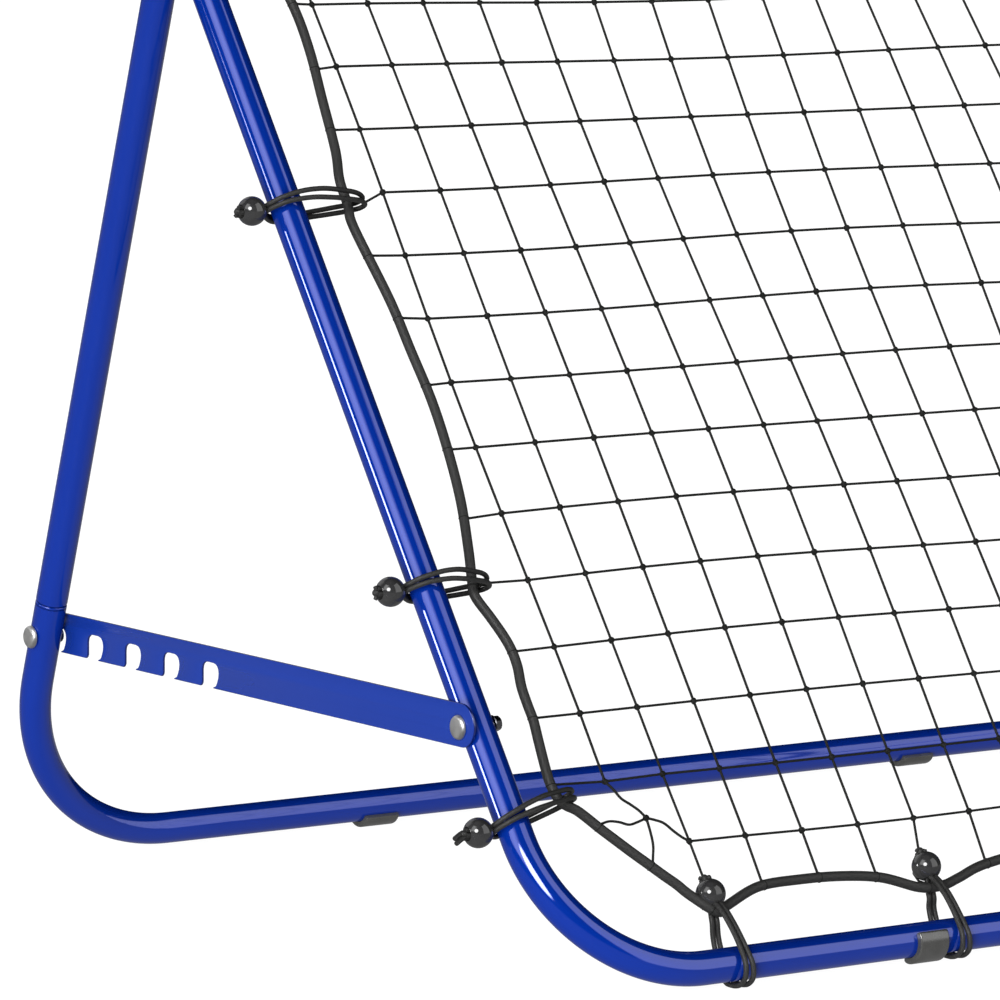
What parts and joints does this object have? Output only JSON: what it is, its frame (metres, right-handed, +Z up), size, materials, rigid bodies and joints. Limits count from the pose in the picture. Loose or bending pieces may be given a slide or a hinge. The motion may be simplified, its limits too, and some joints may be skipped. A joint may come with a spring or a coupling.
{
  "type": "adjustable soccer rebound net",
  "caption": "Tubular A-frame rebounder: a corded net held in a leaning front frame by elastic ball ties, with a hinged rear leg frame and notched adjuster plates.",
  "frame": {"origin": "on the floor, under the centre of the overall box", "axes": "+Z up, +X along the bars, +Y from the netted front towards the rear leg frame"},
  "size_m": [1.291, 0.7706, 1.0883],
  "materials": {
    "blue_tube": "gloss enamel",
    "blue_plate": "satin enamel",
    "bolt_silver": "zinc plated, satin",
    "nut_dark": "dark plated",
    "foot_rubber": "matt",
    "net_twine": "knotted twine",
    "edge_rope": "braided cover",
    "tie_ball": "gloss",
    "tie_cord": "braided elastic cord"
  },
  "bodies": {
    "front_frame": {"front_lower_frame": "blue_tube", "front_upper_frame": "blue_tube", "pivot_bolt_left": "bolt_silver", "pivot_bolt_right": "bolt_silver", "pivot_nut_left": "nut_dark", "pivot_nut_right": "nut_dark", "plate_bolt_left": "bolt_silver", "plate_bolt_right": "bolt_silver", "plate_nut_left": "nut_dark", "plate_nut_right": "nut_dark", "front_foot_left": "foot_rubber", "front_foot_right": "foot_rubber", "net_panel": "net_twine", "edge_rope": "edge_rope", "tie_ball_01": "tie_ball", "tie_ball_02": "tie_ball", "tie_ball_03": "tie_ball", "tie_ball_04": "tie_ball", "tie_ball_05": "tie_ball", "tie_ball_06": "tie_ball", "tie_ball_07": "tie_ball", "tie_ball_08": "tie_ball", "tie_ball_09": "tie_ball", "tie_ball_10": "tie_ball", "tie_ball_11": "tie_ball", "tie_ball_12": "tie_ball", "tie_ball_13": "tie_ball", "tie_ball_14": "tie_ball", "tie_ball_15": "tie_ball", "tie_ball_16": "tie_ball", "tie_ball_17": "tie_ball", "tie_cord_01": "tie_cord", "tie_cord_02": "tie_cord", "tie_cord_03": "tie_cord", "tie_cord_04": "tie_cord", "tie_cord_05": "tie_cord", "tie_cord_06": "tie_cord", "tie_cord_07": "tie_cord", "tie_cord_08": "tie_cord", "tie_cord_09": "tie_cord", "tie_cord_10": "tie_cord", "tie_cord_11": "tie_cord", "tie_cord_12": "tie_cord", "tie_cord_13": "tie_cord", "tie_cord_14": "tie_cord", "tie_cord_15": "tie_cord", "tie_cord_16": "tie_cord", "tie_cord_17": "tie_cord"},
    "rear_frame": {"rear_floor_frame": "blue_tube", "rear_leg_left": "blue_tube", "rear_leg_right": "blue_tube", "lock_bolt_left": "bolt_silver", "lock_bolt_right": "bolt_silver", "lock_nut_left": "nut_dark", "lock_nut_right": "nut_dark", "rear_foot_left": "foot_rubber", "rear_foot_right": "foot_rubber"},
    "adjuster_left": {"adjuster_plate_left": "blue_plate"},
    "adjuster_right": {"adjuster_plate_right": "blue_plate"}
  },
  "joints": [
    {"name": "rear_frame_hinge", "type": "hinge", "parent": "front_frame", "child": "rear_frame", "pos_m": [0, 0.1242, 0.72176], "axis": [-1, 0, 0], "range_deg": [0, 46]},
    {"name": "adjuster_left_hinge", "type": "hinge", "parent": "front_frame", "child": "adjuster_left", "pos_m": [-0.6138, -0.24743, 0.18726], "axis": [1, 0, 0], "range_deg": [0, 36]},
    {"name": "adjuster_right_hinge", "type": "hinge", "parent": "front_frame", "child": "adjuster_right", "pos_m": [0.6138, -0.24743, 0.18726], "axis": [1, 0, 0], "range_deg": [0, 36]}
  ]
}
